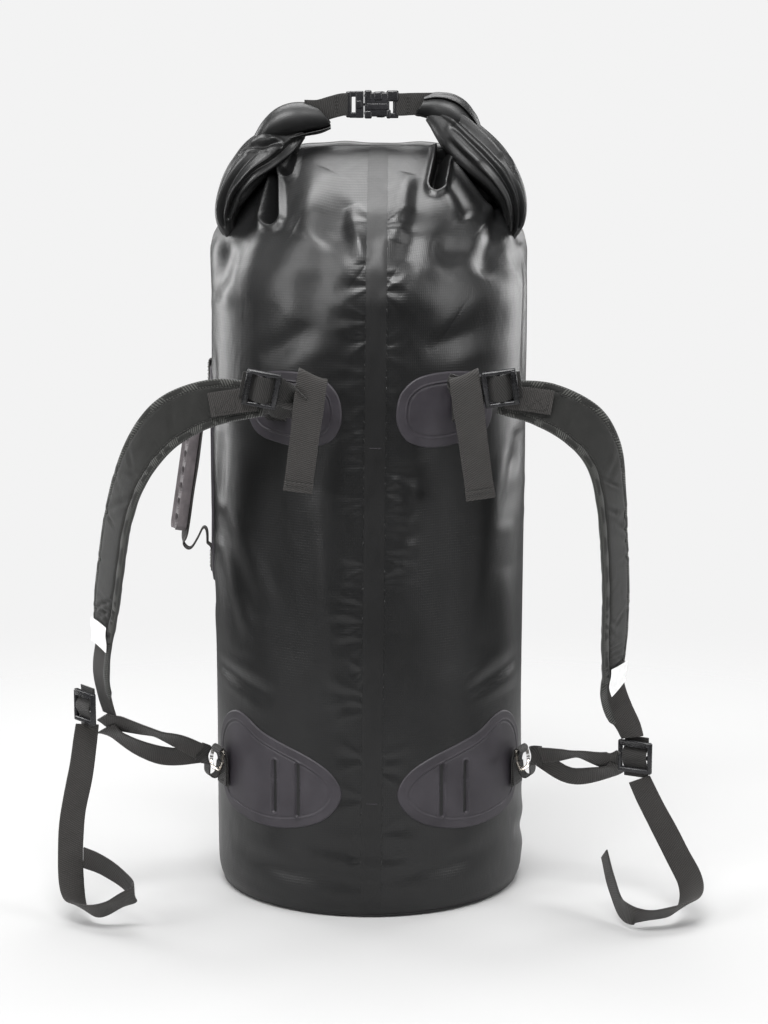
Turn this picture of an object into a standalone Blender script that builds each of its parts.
"""Roll-top dry bag with a shoulder harness, built as separate named pieces.

Metres, +Z up. The origin is the centre of the base's underside, and the harness side faces -Y.
Left means -X and right means +X. Each piece is one closed solid. Moving pieces hang from empties
that sit on their joint axes.
"""
import math
from collections import namedtuple

import bmesh
import bpy
from mathutils import Matrix, Vector

# ---------------------------------------------------------------- driving dimensions (metres)
BODY_R = 0.159            # radius of the filled tube
BASE_R = 0.157            # radius at the welded foot
WALL = 0.0022             # skin of the tube (the real fabric is thinner)
GAP = 0.0004              # air left between neighbouring pieces
SHELL_TOP = 0.720         # where the tube passes into the rolled closure
TUBE_SEGMENTS = 60

PATCH_T = 0.0012          # welded reinforcement patches
PATCH_LIFT = 0.0016       # underside of a patch above the skin
PATCH_TOP = PATCH_LIFT + PATCH_T
WEB_T = 0.0018            # harness webbing
LINK_T = 0.0016           # thinner webbing through the rings

LABELS = {-1: "left", 1: "right"}
UP = Vector((0, 0, 1))

# ---------------------------------------------------------------- looks
SKIN = dict(colour=(0.050, 0.051, 0.053), roughness=0.42)
PATCH = dict(colour=(0.042, 0.037, 0.046), roughness=0.55)
WEBBING = dict(colour=(0.070, 0.063, 0.058), roughness=0.85)
PADDING = dict(colour=(0.066, 0.068, 0.063), roughness=0.90)
LINING = dict(colour=(0.035, 0.036, 0.033), roughness=0.95)
PLASTIC = dict(colour=(0.022, 0.022, 0.024), roughness=0.35)
GRIP = dict(colour=(0.085, 0.075, 0.078), roughness=0.60)
STEEL = dict(colour=(0.620, 0.590, 0.540), roughness=0.28, metallic=1.0)
REFLECT = dict(colour=(0.720, 0.730, 0.740), roughness=0.45)


def material(name, colour, roughness, metallic=0.0):
    made = bpy.data.materials.new(name)
    made.use_nodes = True
    inputs = made.node_tree.nodes["Principled BSDF"].inputs
    inputs["Base Color"].default_value = (*colour, 1.0)
    inputs["Roughness"].default_value = roughness
    inputs["Metallic"].default_value = metallic
    made.diffuse_color = (*colour, 1.0)
    return made


# ---------------------------------------------------------------- objects and joints
for stale in list(bpy.data.objects):
    bpy.data.objects.remove(stale, do_unlink=True)


class Joint:
    """An empty on a joint axis, with its world place kept for the meshes under it."""

    def __init__(self, name, place, parent=None):
        self.empty = bpy.data.objects.new(name, None)
        self.empty.empty_display_size = 0.03
        bpy.context.collection.objects.link(self.empty)
        self.place = Vector(place)
        self.empty.location = self.place
        if parent is not None:
            self.empty.parent = parent.empty
            self.empty.location = self.place - parent.place


def link_object(name, solid):
    mesh = bpy.data.meshes.new(name)
    solid.to_mesh(mesh)
    solid.free()
    made = bpy.data.objects.new(name, mesh)
    bpy.context.collection.objects.link(made)
    return made


def build(name, solid, look, joint=None, smooth=True):
    """One object from a bmesh in world coordinates, hung on a joint when it moves."""
    bmesh.ops.remove_doubles(solid, verts=solid.verts, dist=1e-6)
    bmesh.ops.recalc_face_normals(solid, faces=solid.faces)
    if solid.calc_volume(signed=True) < 0:
        bmesh.ops.reverse_faces(solid, faces=solid.faces)
    piece = link_object(name, solid)
    if smooth:
        piece.data.shade_smooth()
        piece.data.set_sharp_from_angle(angle=math.radians(35))
    piece.data.materials.append(material(name, **look))
    if joint is not None:
        piece.data.transform(Matrix.Translation(-joint.place))
        piece.parent = joint.empty


# ---------------------------------------------------------------- solids


def box(low, high):
    solid = bmesh.new()
    bmesh.ops.create_cube(solid, size=1.0)
    low, high = Vector(low), Vector(high)
    for vert in solid.verts:
        vert.co = Vector([low[i] + (vert.co[i] + 0.5) * (high[i] - low[i]) for i in range(3)])
    return solid


def cut_and_join(base, parts):
    """A solid from base by exact Booleans; parts is a list of (operation, bmesh)."""
    work = link_object("work", base)
    tools = []
    for operation, solid in parts:
        tool = link_object("tool", solid)
        tools.append(tool)
        modifier = work.modifiers.new("b", "BOOLEAN")
        modifier.operation = operation
        modifier.object = tool
        modifier.solver = "EXACT"
    depsgraph = bpy.context.evaluated_depsgraph_get()
    depsgraph.update()
    result = bmesh.new()
    result.from_mesh(bpy.data.meshes.new_from_object(work.evaluated_get(depsgraph)))
    for used in tools + [work]:
        bpy.data.objects.remove(used, do_unlink=True)
    return result


def add_verts(solid, points):
    return [solid.verts.new(point) for point in points]


def join_rings(solid, first, second):
    """Faces between two rings of vertices; a ring may be one vertex repeated."""
    count = len(first)
    for k in range(count):
        j = (k + 1) % count
        corners = (first[k], first[j], second[j], second[k])
        solid.faces.new(list(dict.fromkeys(corners)))


def loft(sections, closed=False):
    """A solid through rings of points, capped at both ends unless it closes on itself."""
    solid = bmesh.new()
    rings = [add_verts(solid, section) for section in sections]
    for first, second in zip(rings, rings[1:]):
        join_rings(solid, first, second)
    if closed:
        join_rings(solid, rings[-1], rings[0])
    else:
        solid.faces.new(rings[0])
        solid.faces.new(rings[-1][::-1])
    return solid


def curve_point(before, start, end, after, t):
    """Catmull-Rom point at fraction t between start and end."""
    return 0.5 * ((2 * start) + (end - before) * t
                  + (2 * before - 5 * start + 4 * end - after) * t * t
                  + (3 * start - 3 * end + after - before) * t ** 3)


def spline(points, steps):
    """Open smooth course through the control points."""
    knots = [Vector(point) for point in points]
    knots = [knots[0] * 2 - knots[1]] + knots + [knots[-1] * 2 - knots[-2]]
    course = [curve_point(*knots[i - 1:i + 3], k / steps)
              for i in range(1, len(knots) - 2) for k in range(steps)]
    return course + [knots[-2]]


def lobe(points, steps=3):
    """A smooth closed outline through a few (x, y) control points."""
    knots = [Vector((*point, 0)) for point in points]
    count = len(knots)
    outline = []
    for i in range(count):
        near = (knots[i - 1], knots[i], knots[(i + 1) % count], knots[(i + 2) % count])
        outline += [curve_point(*near, k / steps).xy[:] for k in range(steps)]
    return outline


def spread(values, count):
    """count values spaced evenly along a short list of numbers or directions."""
    values = [Vector(value) if isinstance(value, tuple) else value for value in values]
    result = []
    for i in range(count):
        position = i / (count - 1) * (len(values) - 1)
        k = min(int(position), len(values) - 2)
        result.append(values[k] * (1 - (position - k)) + values[k + 1] * (position - k))
    return result


def rounded(width, height, radius, steps=3, centre=(0.0, 0.0)):
    """Outline of a rectangle with rounded corners."""
    outline = []
    for side_x, side_y, start in ((1, 1, 0), (-1, 1, 90), (-1, -1, 180), (1, -1, 270)):
        for k in range(steps + 1):
            angle = math.radians(start + 90 * k / steps)
            outline.append((
                centre[0] + side_x * (width / 2 - radius) + radius * math.cos(angle),
                centre[1] + side_y * (height / 2 - radius) + radius * math.sin(angle)))
    return outline


def circle(radius, centre_x=0.0, count=14):
    angles = [2 * math.pi * k / count for k in range(count)]
    return [(centre_x + radius * math.cos(angle), radius * math.sin(angle)) for angle in angles]


def sweep(points, across, widths, thick, offset=0.0, corner=0.0, round_steps=1, closed=False):
    """A strip along points, its width lying along across.

    offset shifts it along its own normal, corner is its edge radius.
    """
    count = len(points)
    sections = []
    for i, point in enumerate(points):
        before = points[(i - 1) % count] if closed or i else points[0]
        after = points[(i + 1) % count] if closed or i < count - 1 else points[-1]
        travel = (after - before).normalized()
        sideways = (across[i] - travel * across[i].dot(travel)).normalized()
        normal = travel.cross(sideways).normalized()
        if corner > 0:
            outline = rounded(widths[i], thick, corner, round_steps)
        else:
            x, y = widths[i] / 2, thick / 2
            outline = [(-x, -y), (x, -y), (x, y), (-x, y)]
        sections.append([point + sideways * x + normal * (y + offset) for x, y in outline])
    return loft(sections, closed)


def ribbon(points, across, widths, thick=WEB_T, steps=4, skip=0, **more):
    """A strip along a smooth course; skip leaves out its first sections."""
    course = spline(points, steps)
    widths = spread(widths, len(course))
    across = [direction.normalized() for direction in spread(across, len(course))]
    return sweep(course[skip:], across[skip:], widths[skip:], thick, **more)


def flat_sheet(outline, holes, cuts_x, cuts_y):
    """Flat triangulated face with holes, divided along grid lines so that it can be bent."""
    sheet = bmesh.new()
    for loop in [outline, *holes]:
        verts = add_verts(sheet, [(x, y, 0) for x, y in loop])
        for i in range(len(verts)):
            sheet.edges.new((verts[i], verts[(i + 1) % len(verts)]))
    bmesh.ops.triangle_fill(sheet, use_beauty=True, edges=sheet.edges, normal=(0, 0, 1))
    for axis, cuts in ((0, cuts_x), (1, cuts_y)):
        for cut in cuts:
            point, normal = Vector((0, 0, 0)), Vector((0, 0, 0))
            point[axis] = cut
            normal[axis] = 1
            geometry = sheet.verts[:] + sheet.edges[:] + sheet.faces[:]
            bmesh.ops.bisect_plane(sheet, geom=geometry, dist=3e-4,
                                   plane_co=point, plane_no=normal)
    bmesh.ops.triangulate(sheet, faces=sheet.faces)
    for face in sheet.faces:
        if face.normal.z < 0:
            face.normal_flip()
    return sheet


def plate(outline, holes, thick, place, cuts_x=(), cuts_y=()):
    """A sheet of stated thickness; place(x, y, z) puts each of its points in the world."""
    sheet = flat_sheet(outline, holes, cuts_x, cuts_y)
    solid = bmesh.new()
    low, top = {}, {}
    for vert in sheet.verts:
        if vert.link_faces:
            low[vert] = solid.verts.new(place(vert.co.x, vert.co.y, 0.0))
            top[vert] = solid.verts.new(place(vert.co.x, vert.co.y, thick))
    for face in sheet.faces:
        solid.faces.new([top[vert] for vert in face.verts])
        solid.faces.new([low[vert] for vert in reversed(face.verts)])
    for edge in sheet.edges:
        if len(edge.link_faces) == 1:
            start, end = next((loop.vert, loop.link_loop_next.vert)
                              for loop in edge.link_faces[0].loops if loop.edge == edge)
            solid.faces.new((top[start], low[start], low[end], top[end]))
    sheet.free()
    return solid


# ---------------------------------------------------------------- the tube and its base
PROFILE = [  # height, half width across X, half depth across Y
    (0.0040, BASE_R, BASE_R), (0.0120, 0.1583, 0.1583), (0.0400, BODY_R, BODY_R),
    (0.6000, BODY_R, BODY_R), (0.6400, 0.1590, 0.1500), (0.6700, 0.1580, 0.1260),
    (0.6950, 0.1550, 0.0960), (0.7100, 0.1510, 0.0730), (SHELL_TOP, 0.1460, 0.0560)]

RIM_R = BASE_R - WALL - GAP - 0.0004     # outside of the base's upstanding rim
RIM_T = 0.0020
BASE_PROFILE = [  # radius, height
    (0, 0), (0.1505, 0), (0.1530, 0.0008), (RIM_R, 0.0032), (RIM_R, 0.0280),
    (RIM_R - RIM_T, 0.0280), (RIM_R - RIM_T, 0.0050), (0.1500, 0.0028), (0, 0.0028)]


def half_sizes(z):
    """Half width and half depth of the tube at a height."""
    for (z0, width0, depth0), (z1, width1, depth1) in zip(PROFILE, PROFILE[1:]):
        if z <= z1:
            t = max(0.0, (z - z0) / (z1 - z0))
            return width0 + (width1 - width0) * t, depth0 + (depth1 - depth0) * t
    return PROFILE[-1][1:]


def on_skin(azimuth, z, lift=0.0):
    """A point lifted off the tube, at an azimuth measured from -Y towards +X."""
    width, depth = half_sizes(z)
    return Vector(((width + lift) * math.sin(azimuth), -(depth + lift) * math.cos(azimuth), z))


def tangent(azimuth):
    return Vector((math.cos(azimuth), math.sin(azimuth), 0))


def outward(azimuth):
    return Vector((math.sin(azimuth), -math.cos(azimuth), 0))


def girth(solid, half_x, half_y, z):
    """A ring of vertices round the Z axis."""
    angles = [2 * math.pi * k / TUBE_SEGMENTS for k in range(TUBE_SEGMENTS)]
    return add_verts(solid, [(half_x * math.sin(angle), -half_y * math.cos(angle), z)
                             for angle in angles])


def tube():
    solid = bmesh.new()
    outer, inner = [], []
    for z, width, depth in PROFILE:
        outer.append(girth(solid, width, depth, z))
        inner.append(girth(solid, width - WALL, depth - WALL, z))
    for rows in (outer, inner):
        for lower, upper in zip(rows, rows[1:]):
            join_rings(solid, lower, upper)
    join_rings(solid, outer[0], inner[0])
    join_rings(solid, outer[-1], inner[-1])
    return solid


def base_panel():
    solid = bmesh.new()
    rows = []
    for radius, z in BASE_PROFILE:
        if radius == 0:
            rows.append([solid.verts.new((0, 0, z))] * TUBE_SEGMENTS)
        else:
            rows.append(girth(solid, radius, radius, z))
    for first, second in zip(rows, rows[1:]):
        join_rings(solid, first, second)
    return solid


build("bag_shell", tube(), SKIN)
build("base_panel", base_panel(), SKIN)

# ---------------------------------------------------------------- seam tape
TAPE_W, TAPE_T, TAPE_LIFT = 0.020, 0.0010, 0.0008
TAPE_AZIMUTH = math.radians(1.5)
TAPE_Z = 0.345                           # height its outline is measured from
TAPE_LOW, TAPE_HIGH = -0.320, 0.330      # its ends about that height
TAPE_LEAN = 0.009                        # drift round the girth per metre of height
TAPE_STEP_X, TAPE_STEP_Y = 0.010, 0.025  # spacing of the lines it bends at


def grid_lines(low, high, step):
    return [k * step for k in range(int(low / step) - 1, int(high / step) + 2)]


def seam_tape():
    """It drifts a few millimetres across the bag from foot to shoulder."""
    half = TAPE_W / 2
    outline = [(-half, TAPE_LOW), (half, TAPE_LOW), (half, TAPE_HIGH), (-half, TAPE_HIGH)]
    bends = [row[0] - TAPE_Z for row in PROFILE if TAPE_LOW < row[0] - TAPE_Z < TAPE_HIGH]
    cuts_y = sorted(set(grid_lines(TAPE_LOW, TAPE_HIGH, TAPE_STEP_Y) + bends))

    def place(x, y, z):
        return on_skin(TAPE_AZIMUTH + (x + TAPE_LEAN * y) / BODY_R, TAPE_Z + y, TAPE_LIFT + z)
    return plate(outline, [], TAPE_T, place, grid_lines(-half, half, TAPE_STEP_X), cuts_y)


build("seam_tape", seam_tape(), PATCH)

# ---------------------------------------------------------------- patches on the tube
PATCH_TRIM = 0.0012                      # first and last rows stand in from the outline's tips
SLOT_W, SLOT_REACH = 0.0045, 0.006       # width of a slot, half depth of its cutter
SLOT_LOW, SLOT_HIGH = -0.0340, 0.0150

UPPER_AZIMUTH, UPPER_RING_Z = 33.6, 0.5300    # degrees
LOWER_AZIMUTH, LOWER_RING_Z = 66.0, 0.150

# Outlines are (along the girth, height) about a patch's middle.
# The first two are for the right side, where the girth counts outwards.
LOWER_PATCH = [  # a rounded oblong with a tongue rising at its outer end to the ring
    (0.074, 0.028), (0.058, 0.047), (0.036, 0.057), (0.016, 0.055), (-0.008, 0.044),
    (-0.034, 0.036), (-0.064, 0.026), (-0.088, 0.012), (-0.100, -0.007), (-0.095, -0.025),
    (-0.078, -0.040), (-0.050, -0.049), (-0.015, -0.0525), (0.024, -0.049), (0.052, -0.041),
    (0.072, -0.020), (0.078, 0.004)]
LOWER_SLOTS = (-0.0545, -0.0270)         # slots along the girth
UPPER_PATCH = [
    (-0.059, -0.002), (-0.054, 0.018), (-0.038, 0.032), (-0.012, 0.037), (0.018, 0.036),
    (0.040, 0.028), (0.050, 0.008), (0.048, -0.014), (0.034, -0.028), (0.006, -0.034),
    (-0.024, -0.036), (-0.046, -0.030), (-0.056, -0.018)]
HANDLE_PATCH = [
    (-0.026, 0.095), (0.0, 0.112), (0.026, 0.095), (0.028, 0.0),
    (0.026, -0.095), (0.0, -0.112), (-0.026, -0.095), (-0.028, 0.0)]


def extent(outline, level):
    """Where a level crosses a closed outline: its least and greatest x."""
    found = []
    for (x0, y0), (x1, y1) in zip(outline, outline[1:] + outline[:1]):
        if (y0 - level) * (y1 - level) <= 0 and abs(y1 - y0) > 1e-9:
            found.append(x0 + (x1 - x0) * (level - y0) / (y1 - y0))
    return min(found), max(found)


def slot_cutter(azimuth, z):
    cutter = box((-SLOT_W / 2, -SLOT_REACH, SLOT_LOW), (SLOT_W / 2, SLOT_REACH, SLOT_HIGH))
    turn = Matrix((tangent(azimuth), -outward(azimuth), UP)).transposed().to_4x4()
    move = Matrix.Translation(on_skin(azimuth, z, PATCH_LIFT))
    bmesh.ops.transform(cutter, matrix=move @ turn, verts=cutter.verts)
    return cutter


def patch(degrees, z, outline, columns, rows=11, slots=()):
    """A patch lofted row by row between the two sides of its outline, with slots cut through."""
    azimuth = math.radians(degrees)
    outline = lobe(outline)
    low = min(point[1] for point in outline)
    high = max(point[1] for point in outline)
    solid = bmesh.new()
    grid = []  # indexed by row, face (0 under, 1 outer) and column
    for j in range(rows + 1):
        fraction = 0.5 - 0.5 * math.cos(math.pi * j / rows)
        level = low + PATCH_TRIM + (high - low - 2 * PATCH_TRIM) * fraction
        start, end = extent(outline, level)
        azimuths = [azimuth + (start + (end - start) * i / columns) / BODY_R
                    for i in range(columns + 1)]
        grid.append([add_verts(solid, [on_skin(angle, z + level, PATCH_LIFT + rise)
                                       for angle in azimuths]) for rise in (0.0, PATCH_T)])
    for j in range(rows):
        for i in range(columns):
            for t in (0, 1):
                face = [grid[j][t][i], grid[j][t][i + 1],
                        grid[j + 1][t][i + 1], grid[j + 1][t][i]]
                solid.faces.new(face if t else face[::-1])
    rim = ([(0, i) for i in range(columns)] + [(j, columns) for j in range(rows)]
           + [(rows, i) for i in range(columns, 0, -1)] + [(j, 0) for j in range(rows, 0, -1)])
    for (j0, i0), (j1, i1) in zip(rim, rim[1:] + rim[:1]):
        solid.faces.new((grid[j0][0][i0], grid[j0][1][i0], grid[j1][1][i1], grid[j1][0][i1]))
    bmesh.ops.recalc_face_normals(solid, faces=solid.faces)
    cutters = [("DIFFERENCE", slot_cutter(azimuth + x / BODY_R, z)) for x in slots]
    return cut_and_join(solid, cutters) if cutters else solid


for side, label in LABELS.items():
    lower = patch(side * 46.0, 0.137, [(side * x, y) for x, y in LOWER_PATCH],
                  columns=19, rows=12, slots=[side * x for x in LOWER_SLOTS])
    build("lower_patch_" + label, lower, PATCH)
    upper = patch(side * (UPPER_AZIMUTH - 3.0), 0.505, [(side * x, y) for x, y in UPPER_PATCH],
                  columns=12)
    build("upper_patch_" + label, upper, PATCH)
build("handle_patch", patch(-90, 0.425, HANDLE_PATCH, columns=4), PATCH)

# ---------------------------------------------------------------- rings and their keepers
WIRE_R = 0.0019                          # welded steel wire of the rings
RING_W, RING_H = 0.0340, 0.0240          # ring, over the outside of the wire
RING_BEND, BAR_BEND = 0.0100, 0.0030     # bends at the foot and at the bar, on the wire's centre
RING_TILT = math.radians(12.0)           # the foot stands off the bag
BAR_LIFT = PATCH_TOP + 0.0045 + WIRE_R   # bar's centre above the skin
KEEPER_W, KEEPER_WALL = 0.0235, 0.0014

# bar: middle of the straight bar; along: its direction; down: from the bar to the foot
Ring = namedtuple("Ring", "bar along out down height")


def ring_frame(side, degrees, z):
    azimuth = side * math.radians(degrees)
    out = outward(azimuth)
    down = (Vector((0, 0, -1)) * math.cos(RING_TILT) + out * math.sin(RING_TILT)).normalized()
    return Ring(on_skin(azimuth, z, BAR_LIFT), tangent(azimuth), out, down,
                RING_H - 2 * WIRE_R)


def keeper(ring, drop):
    """Folded webbing tab: a flat double tab on the patch, with an eye round the ring's bar."""
    eye_r = WIRE_R + 0.0004
    fold_r = eye_r + KEEPER_WALL
    base = PATCH_TOP + GAP - BAR_LIFT
    angles = [math.radians(degrees) for degrees in range(-50, 181, 23)]
    # the profile stands in the radial plane and is drawn out along the bar
    outline = [(fold_r * math.cos(angle), fold_r * math.sin(angle)) for angle in angles]
    outline += [(base, -0.002), (base, -drop), (base + 0.0030, -drop), (base + 0.0034, -0.009)]
    end = ring.bar - ring.along * (KEEPER_W / 2)
    return plate(outline, [circle(eye_r)], KEEPER_W,
                 lambda x, y, z: end + ring.out * x + UP * y + ring.along * z)


def ring_wire(ring):
    half, height = RING_W / 2 - WIRE_R, ring.height
    bends = [  # centre along the bar, centre below it, start angle, radius, steps
        (-half + BAR_BEND, BAR_BEND, 180, BAR_BEND, 3),
        (half - BAR_BEND, BAR_BEND, 270, BAR_BEND, 3),
        (half - RING_BEND, height - RING_BEND, 0, RING_BEND, 6),
        (-half + RING_BEND, height - RING_BEND, 90, RING_BEND, 6)]
    path = []
    for x, y, start, radius, steps in bends:
        for k in range(steps + 1):
            angle = math.radians(start + 90 * k / steps)
            path.append(ring.bar + ring.along * (x + radius * math.cos(angle))
                        + ring.down * (y + radius * math.sin(angle)))
    across = [ring.along.cross(ring.down).normalized()] * len(path)
    return sweep(path, across, [2 * WIRE_R] * len(path), 2 * WIRE_R,
                 corner=WIRE_R, round_steps=2, closed=True)


RINGS = {}
for side, label in LABELS.items():
    for level, degrees, z, drop in (("upper", UPPER_AZIMUTH, UPPER_RING_Z, 0.036),
                                    ("lower", LOWER_AZIMUTH, LOWER_RING_Z, 0.038)):
        ring = RINGS[level, side] = ring_frame(side, degrees, z)
        name = f"d_ring_{level}_{label}"
        build(f"ring_keeper_{level}_{label}", keeper(ring, drop), WEBBING)
        build(name, ring_wire(ring), STEEL, Joint(name + "_axis", ring.bar))

# ---------------------------------------------------------------- rolled closure
ROLL_X = (-0.070, 0.077)                 # flat middle of the rolled collar
ROLL_Y, ROLL_Z = 0.004, 0.7425
ROLL_FLAT = 0.0080                       # half height of the roll's flat sides
ROLL_START, ROLL_TURNS = 0.03, 2.4       # in turns
ROLL_R0, ROLL_PITCH, ROLL_T = 0.0034, 0.0039, 0.0033
STIFFENER_T, STIFFENER_INSET = 0.0018, 0.002

BUCKLE_Z = 0.797                         # side-release buckle, flat in the XZ plane
TOP = Joint("top_loop_axis", (0, 0, 0.700))
LATCH = Joint("buckle_release_axis", (-0.0200, 0, BUCKLE_Z), TOP)


def roll():
    """The tube's mouth, flattened and rolled down round its stiffener: a flat-sided spiral."""
    def at(turn, radius):
        angle = 2 * math.pi * turn
        flat = ROLL_FLAT * (1 if math.sin(angle) >= 0 else -1)
        return radius * math.cos(angle), flat + radius * math.sin(angle)

    steps = int(ROLL_TURNS * 18)
    outer, inner = [], []
    for i in range(steps + 1):
        turn = ROLL_START + ROLL_TURNS * i / steps
        radius = ROLL_R0 + ROLL_PITCH * ROLL_TURNS * i / steps
        outer.append(at(turn, radius + ROLL_T / 2))
        inner.append(at(turn, radius - ROLL_T / 2))
    return plate(outer + inner[::-1], [], ROLL_X[1] - ROLL_X[0],
                 lambda x, y, z: Vector((ROLL_X[0] + z, ROLL_Y - x, ROLL_Z + y)))


def stiffener():
    return box(
        (ROLL_X[0] + STIFFENER_INSET, ROLL_Y - STIFFENER_T / 2, ROLL_Z - ROLL_FLAT),
        (ROLL_X[1] - STIFFENER_INSET, ROLL_Y + STIFFENER_T / 2, ROLL_Z + ROLL_FLAT))


build("rolled_collar", roll(), SKIN, TOP)
build("collar_stiffener", stiffener(), PLASTIC, TOP)

ARM_SEGMENTS = 16
ARM_HALF_DEPTHS = [0.014, 0.019, 0.018, 0.015, 0.012]   # across Y, from foot to tip
LEFT_ARM = dict(
    points=[(-0.132, 0, 0.7355), (-0.121, 0, 0.752), (-0.101, 0, 0.774),
            (-0.077, 0, 0.7885), (-0.052, 0, 0.7925)],
    half_widths=[0.021, 0.023, 0.020, 0.0165, 0.0150],
    pocket=((-0.0740, -0.0014, BUCKLE_Z - 0.0128), (-0.0400, 0.0014, BUCKLE_Z + 0.0122)))
RIGHT_ARM = dict(
    points=[(0.134, 0, 0.7350), (0.121, 0, 0.752), (0.103, 0, 0.773),
            (0.080, 0, 0.7885), (0.0535, 0, 0.7970)],
    half_widths=[0.021, 0.023, 0.020, 0.0165, 0.0145],
    pocket=((0.0400, -0.0014, BUCKLE_Z - 0.0125), (0.0740, 0.0014, BUCKLE_Z + 0.0125)))


def arm(points, half_widths, pocket):
    """A bent, tapering end of the roll, with the pocket that its webbing is sewn into."""
    course = spline(points, 4)
    last = len(course) - 1
    widths = spread(half_widths, len(course))
    depths = spread(ARM_HALF_DEPTHS, len(course))
    depth_axis = Vector((0, 1, 0))
    angles = [2 * math.pi * k / ARM_SEGMENTS for k in range(ARM_SEGMENTS)]
    sections = []
    for i, point in enumerate(course):
        travel = (course[min(i + 1, last)] - course[max(i - 1, 0)]).normalized()
        normal = travel.cross(depth_axis).normalized()
        sections.append([point + normal * (widths[i] * math.cos(angle))
                         + depth_axis * (depths[i] * math.sin(angle)) for angle in angles])
    solid = loft(sections)
    bmesh.ops.recalc_face_normals(solid, faces=solid.faces)
    return cut_and_join(solid, [("DIFFERENCE", box(*pocket))])


build("left_roll_arm", arm(**LEFT_ARM), SKIN, LATCH)
build("right_roll_arm", arm(**RIGHT_ARM), SKIN, TOP)

# ---------------------------------------------------------------- buckle
BUCKLE_HALF = 0.0130                     # half height of the buckle
BUCKLE_WEB_W = 0.0225
EYE_R, EYE_WALL = 0.0026, 0.0012         # eye of the webbing round a buckle bar
TAIL_HALF = 0.0009                       # half thickness of that webbing past the eye
LATCH_T = 0.0044
LATCH_OUTLINE = [  # x, height above the buckle's middle, for the upper latch
    (-0.0056, 0.0076), (0.0135, 0.0070), (0.0168, 0.0084), (0.0150, 0.0126),
    (0.0128, 0.0130), (0.0072, 0.0128), (0.0064, 0.0098), (-0.0056, 0.0098)]


def eye_strap(bar_x, end_x):
    """Webbing folded round a vertical bar of the buckle and sewn to itself."""
    side = 1 if end_x > bar_x else -1
    radius = EYE_R + EYE_WALL
    angles = [math.radians(degrees) for degrees in range(-150, 151, 25)]
    neck_x = bar_x + side * 0.009
    outline = [(bar_x - side * radius * math.cos(angle), radius * math.sin(angle))
               for angle in angles]
    outline += [(neck_x, TAIL_HALF), (end_x, TAIL_HALF), (end_x, -TAIL_HALF),
                (neck_x, -TAIL_HALF)]
    return plate(outline, [circle(EYE_R, bar_x)], BUCKLE_WEB_W,
                 lambda x, y, z: Vector((x, y, BUCKLE_Z - BUCKLE_WEB_W / 2 + z)))


def block(x0, x1, half_y, low, high):
    """A box centred on Y = 0, its heights counted from the buckle's middle."""
    return box((x0, -half_y, BUCKLE_Z + low), (x1, half_y, BUCKLE_Z + high))


def web_bar(post_x, post_half_y, post_z, bar_x):
    """Two posts and the bar between them that the webbing turns round, as parts to join."""
    post_end = BUCKLE_HALF - 0.0001
    bar_end = BUCKLE_HALF - 0.0003
    return [("UNION", block(*post_x, post_half_y, post_z, post_end)),
            ("UNION", block(*post_x, post_half_y, -post_end, -post_z)),
            ("UNION", block(*bar_x, 0.0014, -bar_end, bar_end))]


def buckle_male():
    """Cross wall with a web bar on the -X side and a central tongue on the +X side."""
    return cut_and_join(
        block(-0.0095, -0.0060, 0.0050, -BUCKLE_HALF, BUCKLE_HALF),
        web_bar((-0.0231, -0.0094), 0.0022, 0.0118, (-0.0232, -0.0203))
        + [("UNION", block(-0.0061, 0.0120, 0.0013, -0.0014, 0.0014))])


def buckle_female():
    """Hollow housing with openings above and below and a web bar on the +X side."""
    return cut_and_join(
        block(-0.0052, 0.0206, 0.0055, -BUCKLE_HALF, BUCKLE_HALF),
        [("DIFFERENCE", block(-0.0070, 0.0185, 0.0032, -0.0110, 0.0110)),
         ("DIFFERENCE", block(0.0058, 0.0165, 0.0032, -0.0150, 0.0150))]
        + web_bar((0.0205, 0.0287), 0.0024, 0.0117, (0.0258, 0.0288)))


def latch(mirror):
    return plate([(x, mirror * y) for x, y in LATCH_OUTLINE], [], LATCH_T,
                 lambda x, y, z: Vector((x, z - LATCH_T / 2, BUCKLE_Z + y)))


build("buckle_webbing_left", eye_strap(-0.0216, -0.0720), WEBBING, LATCH)
build("buckle_webbing_right", eye_strap(0.0271, 0.0720), WEBBING, TOP)
build("buckle_male", buckle_male(), PLASTIC, LATCH, smooth=False)
build("buckle_female", buckle_female(), PLASTIC, TOP, smooth=False)
for mirror, level in ((1, "upper"), (-1, "lower")):
    root = (-0.0054, 0, BUCKLE_Z + mirror * 0.0086)
    build("latch_" + level, latch(mirror), PLASTIC,
          Joint(f"latch_{level}_axis", root, LATCH), smooth=False)

# ---------------------------------------------------------------- carry handle on the -X side
HANDLE_X, HANDLE_TOP, HANDLE_LOW = -0.1680, 0.509, 0.357
GRIP_W, GRIP_T, GRIP_TURN = 0.025, 0.0085, math.radians(22)
GRIP_HOLES, HOLE_PITCH = 7, 0.0165
GRIP_SHIFT = 0.0016                      # offset of the webbing and of the grip's rear face
GRIP_TOP, GRIP_LOW = Vector((-0.1735, 0, 0.4870)), Vector((-0.1925, 0, 0.3620))
GRIP_MID = (GRIP_TOP + GRIP_LOW) / 2
GRIP_ALONG = (GRIP_TOP - GRIP_LOW).normalized()
GRIP_NORMAL = Vector((-GRIP_ALONG.z, 0, GRIP_ALONG.x))
GRIP_ACROSS = Vector((0, -1, 0)) * math.cos(GRIP_TURN) - GRIP_NORMAL * math.sin(GRIP_TURN)
GRIP_FACE = GRIP_NORMAL * math.cos(GRIP_TURN) + Vector((0, -1, 0)) * math.sin(GRIP_TURN)


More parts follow.
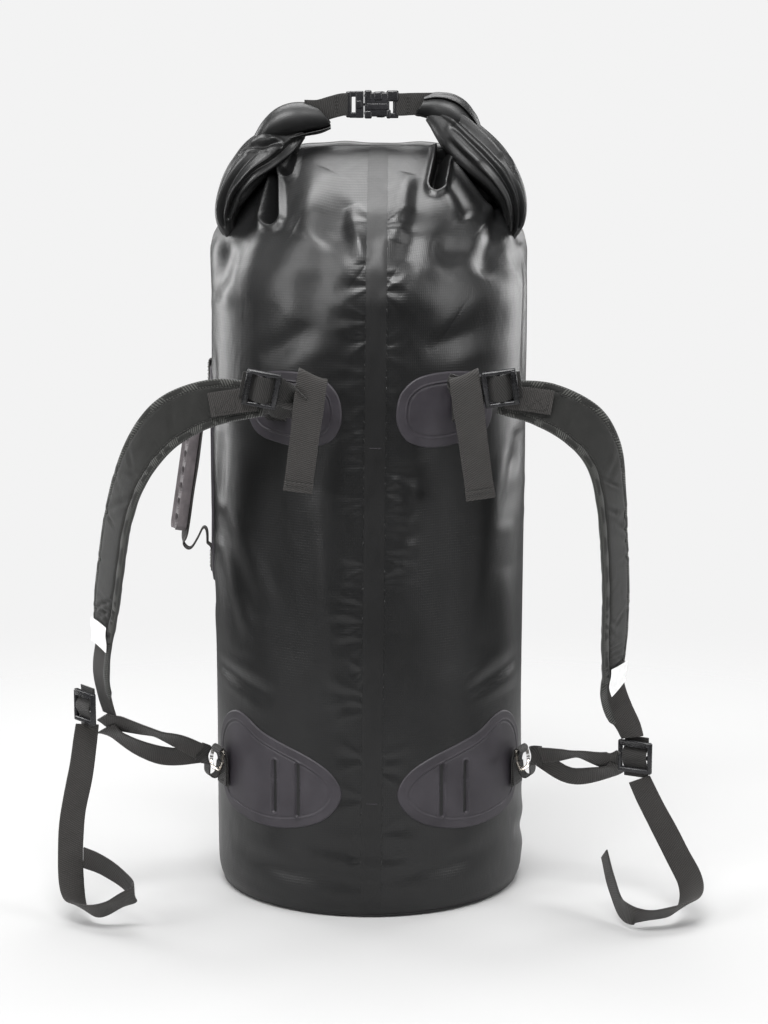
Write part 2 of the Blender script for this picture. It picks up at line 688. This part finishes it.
def carry_webbing():
    shift = Vector((GRIP_SHIFT, 0, 0))
    flat, turned = Vector((0, 1, 0)), -GRIP_ACROSS
    stations = [  # point, width direction, width
        ((HANDLE_X, 0, HANDLE_TOP), flat, 0.009),
        ((HANDLE_X - 0.0003, 0, 0.500), flat, 0.014),
        (GRIP_TOP + shift + UP * 0.002, turned, 0.023),
        (GRIP_MID + shift, turned, 0.023),
        (GRIP_LOW + shift, turned, 0.023),
        ((-0.1930, 0, 0.3520), flat, 0.023),
        ((-0.1860, 0, 0.3450), flat, 0.021),
        ((-0.1780, 0, 0.3560), flat, 0.018),
        ((-0.1715, 0, 0.3680), flat, 0.012),
        ((HANDLE_X - 0.0004, 0, 0.3640), flat, 0.009),
        ((HANDLE_X, 0, HANDLE_LOW), flat, 0.008)]
    return ribbon(*zip(*stations))


def carry_grip():
    origin = GRIP_MID + GRIP_NORMAL * GRIP_SHIFT
    holes = [rounded(0.0075, 0.0085, 0.0036, 2, (0, (k - (GRIP_HOLES - 1) / 2) * HOLE_PITCH))
             for k in range(GRIP_HOLES)]
    outline = rounded(GRIP_W, (GRIP_TOP - GRIP_LOW).length - 0.006, 0.007)
    return plate(outline, holes, GRIP_T, lambda x, y, z: (
        origin + GRIP_ACROSS * x + GRIP_ALONG * y + GRIP_FACE * z))


def handle_tab(far, near, end):
    """Webbing sewn to the patch from far to near, ending just short of the swinging part."""
    face = -(BODY_R + PATCH_TOP + 0.0007)
    points = [(face - WEB_T / 2, 0, far), (face - WEB_T / 2, 0, near),
              (face - 0.0030, 0, near + (end - near) * 0.6), (HANDLE_X, 0, end)]
    return ribbon(points, [(0, 1, 0), (0, 1, 0)], [0.024, 0.024, 0.014, 0.008], steps=3)


SWING = Joint("carry_handle_axis", (HANDLE_X, 0, (HANDLE_TOP + HANDLE_LOW) / 2))
build("carry_webbing", carry_webbing(), WEBBING, SWING)
build("carry_grip", carry_grip(), GRIP, SWING)
build("handle_tab_upper", handle_tab(0.541, 0.516, HANDLE_TOP + 0.0012), WEBBING)
build("handle_tab_lower", handle_tab(0.324, 0.349, HANDLE_LOW - 0.0012), WEBBING)

# ---------------------------------------------------------------- shoulder harness
PAD_W, PAD_T = 0.0450, 0.0100            # shoulder pads
BACK_T, BACK_INSET = 0.0022, 0.004       # mesh lining under a pad, and how much narrower it is
BACK_AIR = {-1: 2 * GAP, 1: 5 * GAP}     # air between pad and lining
STRAP_END_T, BAND_T = 0.0024, 0.0010
UPPER_TAIL_W, LOWER_TAIL_W = 0.0275, 0.0240
LOCK_W, LOCK_T = 0.0360, 0.0040          # ladder-locks
UPPER_LOCK_L, LOWER_LOCK_L = 0.0330, 0.0320

PAD_WIDTHS = [0.028, 0.040, PAD_W, PAD_W, PAD_W, PAD_W, PAD_W, PAD_W, 0.034]
# Width directions, written for the right side.
# pad: broad face forward at the shoulder, turning edge-on to the front down the arm
PAD_ACROSS = [(0, 0, 1), (0.20, 0.05, 0.98), (0.55, 0.25, 0.80), (0.62, 0.55, 0.55),
              (0.60, 0.75, 0.28), (0.57, 0.82, 0.08), (0.57, 0.82, 0), (0.57, 0.82, 0),
              (0.60, 0.80, 0)]
TAIL_ACROSS = [(0.86, -0.50, 0), (0.95, -0.30, 0), (0.9, -0.2, 0.1), (0.7, -0.3, 0.5),
               (0.1, -0.75, 0.65), (0.0, -0.45, 0.9), (0.0, -0.3, 0.95), (0.0, -0.3, 0.95)]

# upper_bar: bar of the upper ladder-lock        turn: turning point at the lower ring
# pad, end: courses of the pad and of the webbing below it
# lock, bars: centre and bar direction of the lower ladder-lock
# strand: start of the strands to the lower ring
# tail: course of the lower free tail
# fold, tail_end: fold and end of the upper free tail
STRAPS = {
    -1: dict(
        upper_bar=(-0.0830, -0.1880, 0.5310), turn=(-0.1640, -0.0830, 0.1480),
        pad=[(-0.1010, -0.1740, 0.5190), (-0.1490, -0.1760, 0.5160), (-0.1870, -0.1760, 0.5000),
             (-0.2120, -0.1700, 0.4740), (-0.2300, -0.1650, 0.4400), (-0.2420, -0.1600, 0.4000),
             (-0.2490, -0.1550, 0.3600), (-0.2550, -0.1490, 0.3200), (-0.2600, -0.1420, 0.2820)],
        end=[(-0.2605, -0.1400, 0.2790), (-0.2640, -0.1340, 0.2550), (-0.2650, -0.1280, 0.2350),
             (-0.2620, -0.1220, 0.2140), (-0.2580, -0.1180, 0.1990)],
        lock=(-0.2810, -0.1270, 0.2080), bars=(0.60, -0.80, 0),
        strand=(-0.2510, -0.1130, 0.1850),
        tail=[(-0.2800, -0.1250, 0.1900), (-0.2850, -0.1300, 0.1500), (-0.2950, -0.1380, 0.0960),
              (-0.2960, -0.1500, 0.0480), (-0.2890, -0.1660, 0.0200), (-0.2700, -0.1850, 0.0170),
              (-0.2420, -0.1930, 0.0300), (-0.2280, -0.1930, 0.0380), (-0.2420, -0.1740, 0.0460),
              (-0.2660, -0.1560, 0.0560), (-0.2830, -0.1480, 0.0600)],
        fold=(-0.0600, -0.1900, 0.5440), tail_end=(-0.0680, -0.1780, 0.4310)),
    1: dict(
        upper_bar=(0.1060, -0.1880, 0.5330), turn=(0.1640, -0.0850, 0.1480),
        pad=[(0.1240, -0.1740, 0.5210), (0.1670, -0.1760, 0.5140), (0.2040, -0.1760, 0.4940),
             (0.2240, -0.1700, 0.4650), (0.2320, -0.1650, 0.4260), (0.2360, -0.1600, 0.3810),
             (0.2390, -0.1550, 0.3310), (0.2390, -0.1500, 0.2850), (0.2385, -0.1420, 0.2400)],
        end=[(0.2385, -0.1400, 0.2355), (0.2420, -0.1330, 0.2200), (0.2480, -0.1290, 0.2040),
             (0.2560, -0.1270, 0.1900), (0.2610, -0.1260, 0.1770)],
        lock=(0.2640, -0.1260, 0.1570), bars=(0.85, -0.52, 0),
        strand=(0.2380, -0.1080, 0.1460),
        tail=[(0.2680, -0.1270, 0.1340), (0.2820, -0.1300, 0.1060), (0.3050, -0.1400, 0.0620),
              (0.3180, -0.1520, 0.0360), (0.3140, -0.1700, 0.0230), (0.2980, -0.1880, 0.0180),
              (0.2680, -0.1960, 0.0160), (0.2560, -0.1960, 0.0170), (0.2460, -0.1780, 0.0180),
              (0.2400, -0.1600, 0.0360), (0.2330, -0.1420, 0.0620)],
        fold=(0.0850, -0.1900, 0.5440), tail_end=(0.1070, -0.1780, 0.4240)),
}


def mirrored(side, rows):
    return [(side * x, y, z) for x, y, z in rows]


def ladder_lock(centre, travel, bars, length):
    """A moulded frame with three bars, its bars square to the webbing's travel."""
    travel = Vector(travel).normalized()
    bars = Vector(bars)
    bars = (bars - travel * bars.dot(travel)).normalized()
    normal = travel.cross(bars)
    slots = [rounded(0.0055, LOCK_W - 0.0070, 0.0012, 2, (x, 0)) for x in (-0.0075, 0.0060)]
    return plate(rounded(length, LOCK_W, 0.0035), slots, LOCK_T, lambda x, y, z: (
        centre + travel * x + bars * y + normal * (z - LOCK_T / 2)))


def pad_pieces(side, strap, hinge):
    """The pad, its lining, the webbing tab at its top and the band near its end."""
    label, bar = LABELS[side], Vector(strap["upper_bar"])
    across = mirrored(side, PAD_ACROSS)
    build("shoulder_pad_" + label,
          ribbon(strap["pad"], across, PAD_WIDTHS, PAD_T, corner=0.0040), PADDING, hinge)
    # the sweep's own normal points at the lining on the left strap, away from it on the right
    under = -side * (PAD_T / 2 + BACK_T / 2 + BACK_AIR[side])
    build("pad_backing_" + label,
          ribbon(strap["pad"], across, [width - BACK_INSET for width in PAD_WIDTHS], BACK_T,
                 skip=4, offset=under), LINING, hinge)
    tab = [(bar.x + side * 0.0400, -0.1835, bar.z - 0.0125),
           (bar.x + side * 0.0500, -0.1840, bar.z - 0.0140),
           (bar.x + side * 0.0660, -0.1845, bar.z - 0.0160)]
    build("pad_tab_" + label, ribbon(tab, [UP, UP], [0.022, 0.022], steps=3), WEBBING, hinge)
    last = Vector(strap["pad"][-1])
    travel = (last - Vector(strap["pad"][-2])).normalized()
    band = [last - travel * distance for distance in (0.024, 0.013, 0.003)]
    build("reflective_band_" + label,
          ribbon(band, mirrored(side, [(0.57, 0.82, 0)] * 2), [0.026, 0.026], BAND_T,
                 steps=2, offset=side * (PAD_T / 2 + 0.0011)), REFLECT, hinge)


def lock_pieces(side, strap, axis, hinge):
    """Both ladder-locks and the webbing between the pad and the lower one."""
    label, sideways = LABELS[side], Vector((side, 0, 0))
    travel = (sideways - axis * sideways.dot(axis)).normalized()
    # a bar of the upper lock lies along the strap's hinge axis
    centre = Vector(strap["upper_bar"]) + travel * 0.0185 + Vector((0, -0.0020, -0.0040))
    build("upper_lock_" + label, ladder_lock(centre, travel, axis, UPPER_LOCK_L),
          PLASTIC, hinge)
    build("strap_end_" + label,
          ribbon(strap["end"], [(side * 0.60, 0.80, 0), Vector(strap["bars"]) * side],
                 [0.0265, 0.0255], STRAP_END_T, steps=3), WEBBING, hinge)
    build("lower_lock_" + label,
          ladder_lock(Vector(strap["lock"]), UP, strap["bars"], LOWER_LOCK_L), PLASTIC, hinge)


def lower_strands(side, strap, hinge):
    """Two strands from the lower ladder-lock towards the lower ring."""
    start, turn = Vector(strap["strand"]), Vector(strap["turn"])
    near = turn + (start - turn).normalized() * 0.011
    middle = start * 0.5 + near * 0.5
    strands = [  # name, offsets of start, middle and end, lean of the first width direction
        ("upper", (0, -0.006, 0.004), (0, -0.008, 0.007), (0, -0.0030, 0.002), -0.3),
        ("lower", (side * 0.002, 0.004, -0.010), (0, 0.010, -0.020), (0, 0.0032, -0.004), 0.3)]
    for level, at_start, at_middle, at_end, lean in strands:
        points = [start + Vector(at_start), middle + Vector(at_middle), near + Vector(at_end)]
        build(f"lower_strand_{level}_{LABELS[side]}",
              ribbon(points, [(0, lean, 1), UP, UP], [0.024, 0.022, 0.018]), WEBBING, hinge)


def free_tails(side, strap, hinge):
    label = LABELS[side]
    # the lower tail hangs, lands and doubles back on itself
    name = "lower_tail_" + label
    joint = Joint(name + "_axis", Vector(strap["lock"]) + Vector((0, 0, -0.0165)), hinge)
    build(name, ribbon(strap["tail"], mirrored(side, TAIL_ACROSS), [LOWER_TAIL_W] * 2, steps=3),
          WEBBING, joint)
    # the upper tail leaves the ladder-lock, folds over and hangs down the -Y side of the bag
    name = "upper_tail_" + label
    fold, end = Vector(strap["fold"]), Vector(strap["tail_end"])
    points = [fold + Vector((0, 0.0075, -0.0075)), fold + Vector((0, 0.0060, -0.0015)),
              fold + Vector((0, -0.0010, 0)), fold + Vector((-0.001, -0.0022, -0.012)),
              (fold + end) / 2 + Vector((0, -0.002, 0)), end]
    build(name, ribbon(points, [(1, 0, 0.0), (1, 0, 0.12)], [UPPER_TAIL_W] * 2),
          WEBBING, Joint(name + "_axis", fold))


def round_foot(ring, clear):
    """First points of webbing that passes round a ring's foot, and where that foot is."""
    eye = ring.bar + ring.down * (ring.height * 0.5)
    foot = ring.bar + ring.down * ring.height
    return foot, [eye - ring.out * 0.0036 + ring.down * 0.003,
                  foot - ring.out * 0.0040 + ring.down * 0.0045,
                  foot + ring.out * 0.0010 + ring.down * 0.0085,
                  foot + ring.out * clear + ring.down * 0.0035]


def upper_link(side, strap, axis):
    """Link from the upper ring to the upper ladder-lock."""
    ring, bar = RINGS["upper", side], Vector(strap["upper_bar"])
    _, points = round_foot(ring, 0.0070)
    points += [bar + Vector((-side * 0.0105, 0.0160, -0.0200)),
               bar + Vector((-side * 0.0085, 0.0060, -0.0080))]
    along = ring.along * side
    if side < 0:
        # the left lock sits inboard of its ring, so its webbing turns on edge before it crosses
        turn = [along * 0.55 + UP * 0.8, UP, UP]
        widths = [0.014, 0.014, 0.014, 0.015, 0.017, 0.017]
    else:
        turn = [along, along * 0.6 + UP * 0.5, axis]
        widths = [0.014, 0.014, 0.014, 0.016, 0.020, 0.022]
    return ribbon(points, [along] * 3 + turn, widths, LINK_T)


def lower_loop(side, strap):
    """Loop through the lower ring."""
    ring, turn = RINGS["lower", side], Vector(strap["turn"])
    foot, points = round_foot(ring, 0.0075)
    points += [turn + (foot - turn) * 0.50 + ring.out * 0.004,
               turn + (foot - turn).normalized() * 0.006]
    along = ring.along * side
    return ribbon(points, [along] * 4 + [along * 0.7 + UP * 0.7, UP],
                  [0.014, 0.014, 0.014, 0.015, 0.018, 0.018], LINK_T)


for side, strap in STRAPS.items():
    label, upper_bar = LABELS[side], Vector(strap["upper_bar"])
    axis = (upper_bar - Vector(strap["turn"])).normalized()
    hinge = Joint(f"strap_{label}_axis", upper_bar)
    pad_pieces(side, strap, hinge)
    lock_pieces(side, strap, axis, hinge)
    lower_strands(side, strap, hinge)
    free_tails(side, strap, hinge)
    build("upper_link_" + label, upper_link(side, strap, axis), WEBBING)
    build("lower_loop_" + label, lower_loop(side, strap), WEBBING)
